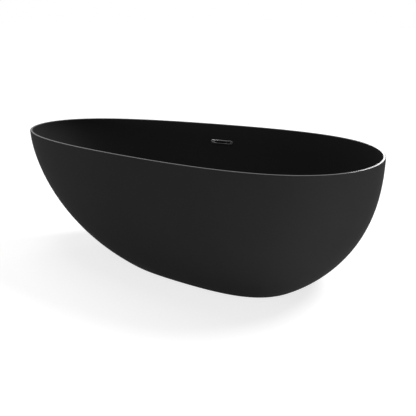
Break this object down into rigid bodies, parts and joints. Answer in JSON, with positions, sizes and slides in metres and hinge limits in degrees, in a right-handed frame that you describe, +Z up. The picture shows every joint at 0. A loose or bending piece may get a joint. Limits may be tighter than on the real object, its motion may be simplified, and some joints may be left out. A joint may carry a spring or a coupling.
{
  "type": "freestanding bathtub",
  "caption": "Egg-shaped freestanding bathtub with a slim flat rim, a slotted overflow, a click-clack drain and levelling feet under a smooth outer shell.",
  "frame": {"origin": "on the floor, under the middle of the rim's bounding box", "axes": "+X points to the wide, steep end; +Y to the side with the overflow; +Z up"},
  "size_m": [1.7, 0.8194, 0.57],
  "materials": {
    "satin_acrylic": "satin",
    "plywood": "sanded",
    "painted_steel": "satin",
    "zinc_steel": "zinc plated",
    "spring_steel": "polished",
    "chrome": "polished",
    "rubber": "matte",
    "white_plastic": "moulded",
    "black_plastic": "moulded",
    "grey_hose": "moulded"
  },
  "bodies": {
    "root": {"inner_basin": "satin_acrylic", "outer_shell": "satin_acrylic", "base_board": "plywood", "front_rail": "painted_steel", "rear_rail": "painted_steel", "narrow_end_cross_rail": "painted_steel", "middle_cross_rail": "painted_steel", "wide_end_cross_rail": "painted_steel", "rail_end_caps": "rubber", "board_screws": "zinc_steel", "front_narrow_bracket": "painted_steel", "front_wide_bracket": "painted_steel", "rear_narrow_bracket": "painted_steel", "rear_wide_bracket": "painted_steel", "bracket_bolts": "zinc_steel", "flange_screws": "zinc_steel", "weld_nuts": "zinc_steel", "lock_nuts": "zinc_steel", "drain_flange": "chrome", "upper_drain_gasket": "rubber", "lower_drain_gasket": "rubber", "stopper_cartridge": "zinc_steel", "stopper_spring": "spring_steel", "waste_body": "white_plastic", "slip_washer": "rubber", "slip_nut": "white_plastic", "tailpiece": "chrome", "overflow_trim": "chrome", "overflow_screws": "zinc_steel", "overflow_gasket": "rubber", "overflow_body": "black_plastic", "overflow_hose": "grey_hose", "upper_hose_clip": "zinc_steel", "lower_hose_clip": "zinc_steel"},
    "stopper": {"drain_cap": "chrome", "stopper_seal": "rubber", "stopper_stem": "chrome"},
    "front_narrow_pad": {"front_narrow_pad": "rubber"},
    "front_narrow_stud": {"front_narrow_stud": "zinc_steel"},
    "front_wide_pad": {"front_wide_pad": "rubber"},
    "front_wide_stud": {"front_wide_stud": "zinc_steel"},
    "rear_narrow_pad": {"rear_narrow_pad": "rubber"},
    "rear_narrow_stud": {"rear_narrow_stud": "zinc_steel"},
    "rear_wide_pad": {"rear_wide_pad": "rubber"},
    "rear_wide_stud": {"rear_wide_stud": "zinc_steel"},
    "middle_pad": {"middle_pad": "rubber"},
    "middle_stud": {"middle_stud": "zinc_steel"}
  },
  "joints": [
    {"name": "stopper_slide", "type": "slide", "parent": "root", "child": "stopper", "axis": [0, 0, 1], "range_m": [-0.0015, 0.01], "deforming": ["stopper_spring"]},
    {"name": "front_narrow_foot_slide", "type": "slide", "parent": "root", "child": "front_narrow_pad", "axis": [0, 0, 1], "range_m": [-0.012, 0.006]},
    {"name": "front_narrow_stud_turn", "type": "hinge", "parent": "front_narrow_pad", "child": "front_narrow_stud", "pos_m": [-0.16354, -0.1405, 0.05], "axis": [0, 0, 1], "range_deg": [-2470, 1236]},
    {"name": "front_wide_foot_slide", "type": "slide", "parent": "root", "child": "front_wide_pad", "axis": [0, 0, 1], "range_m": [-0.012, 0.006]},
    {"name": "front_wide_stud_turn", "type": "hinge", "parent": "front_wide_pad", "child": "front_wide_stud", "pos_m": [0.41455, -0.1405, 0.05], "axis": [0, 0, 1], "range_deg": [-2470, 1236]},
    {"name": "rear_narrow_foot_slide", "type": "slide", "parent": "root", "child": "rear_narrow_pad", "axis": [0, 0, 1], "range_m": [-0.012, 0.006]},
    {"name": "rear_narrow_stud_turn", "type": "hinge", "parent": "rear_narrow_pad", "child": "rear_narrow_stud", "pos_m": [-0.16354, 0.1405, 0.05], "axis": [0, 0, 1], "range_deg": [-2470, 1236]},
    {"name": "rear_wide_foot_slide", "type": "slide", "parent": "root", "child": "rear_wide_pad", "axis": [0, 0, 1], "range_m": [-0.012, 0.006]},
    {"name": "rear_wide_stud_turn", "type": "hinge", "parent": "rear_wide_pad", "child": "rear_wide_stud", "pos_m": [0.41455, 0.1405, 0.05], "axis": [0, 0, 1], "range_deg": [-2470, 1236]},
    {"name": "middle_foot_slide", "type": "slide", "parent": "root", "child": "middle_pad", "axis": [0, 0, 1], "range_m": [-0.012, 0.006]},
    {"name": "middle_stud_turn", "type": "hinge", "parent": "middle_pad", "child": "middle_stud", "pos_m": [0.12551, 0, 0.05], "axis": [0, 0, 1], "range_deg": [-2470, 1236]}
  ],
  "couplings": [
    {"joint": "front_narrow_stud_turn", "follows": "front_narrow_foot_slide", "rad_per_m": 3590.4},
    {"joint": "front_wide_stud_turn", "follows": "front_wide_foot_slide", "rad_per_m": 3590.4},
    {"joint": "rear_narrow_stud_turn", "follows": "rear_narrow_foot_slide", "rad_per_m": 3590.4},
    {"joint": "rear_wide_stud_turn", "follows": "rear_wide_foot_slide", "rad_per_m": 3590.4},
    {"joint": "middle_stud_turn", "follows": "middle_foot_slide", "rad_per_m": 3590.4}
  ]
}
